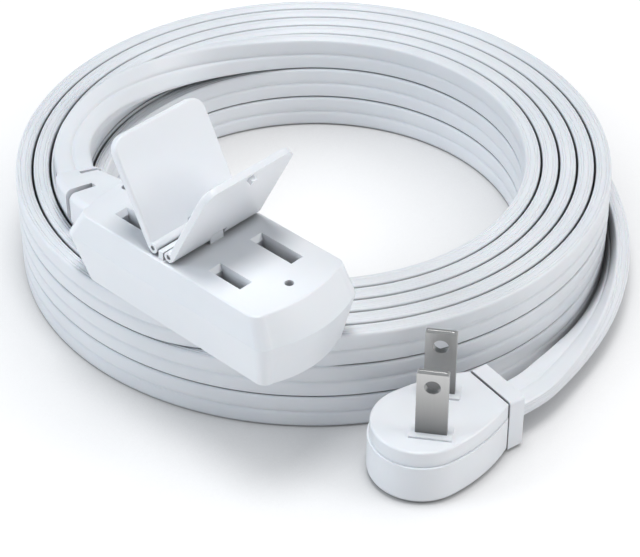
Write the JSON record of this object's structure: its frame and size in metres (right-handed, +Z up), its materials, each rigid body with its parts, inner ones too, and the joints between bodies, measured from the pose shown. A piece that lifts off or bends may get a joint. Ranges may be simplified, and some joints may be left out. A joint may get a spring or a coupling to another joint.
{
  "type": "extension cord",
  "caption": "Flat-cord indoor extension cord: coiled cord, in-line outlet block with hinged slot covers, strain relief boot and low-profile side-exit plug.",
  "frame": {"origin": "middle of the box around the outlet block, its boot and its open covers, without the free cord and the plug", "axes": "+X along the outlet block away from its cord, +Y across it towards the wide slots, +Z up out of the slots"},
  "size_m": [0.1486, 0.1378, 0.0637],
  "materials": {
    "white_plastic": "smooth moulded white, satin gloss",
    "white_vinyl": "soft white vinyl, satin",
    "white_cord": "soft white vinyl sheath with a slight sheen",
    "nickel_plate": "nickel plate with fine stamping lines",
    "brass": "bare sheet brass",
    "steel": "zinc plate",
    "carrier_plastic": "matte moulded",
    "hot_insulation": "matte insulation",
    "neutral_insulation": "matte insulation"
  },
  "bodies": {
    "block": {"upper_shell": "white_plastic", "lower_shell": "white_plastic", "left_hinge_pin": "steel", "right_hinge_pin": "steel", "hot_bus": "brass", "neutral_bus": "brass", "block_hot_conductor": "hot_insulation", "block_neutral_conductor": "neutral_insulation", "case_screws": "steel", "strain_relief_boot": "white_vinyl", "cord_end_in_boot": "white_cord", "cord_coil": "white_cord", "cord_lead_to_block": "white_cord", "cord_lead_to_plug": "white_cord", "plug_collar": "white_vinyl", "plug_body": "white_plastic", "plug_face": "white_plastic", "blade_carrier": "carrier_plastic", "hot_blade": "nickel_plate", "neutral_blade": "nickel_plate", "cord_end_in_plug": "white_cord", "plug_hot_conductor": "hot_insulation", "plug_neutral_conductor": "neutral_insulation"},
    "left_cover": {"left_cover": "white_plastic"},
    "right_cover": {"right_cover": "white_plastic"}
  },
  "joints": [
    {"name": "left_cover_hinge", "type": "hinge", "parent": "block", "child": "left_cover", "pos_m": [0.00662, 0, -0.00047], "axis": [0, 1, 0], "range_deg": [-62, 28]},
    {"name": "right_cover_hinge", "type": "hinge", "parent": "block", "child": "right_cover", "pos_m": [0.01112, 0, -0.00047], "axis": [0, -1, 0], "range_deg": [-62, 28]}
  ]
}
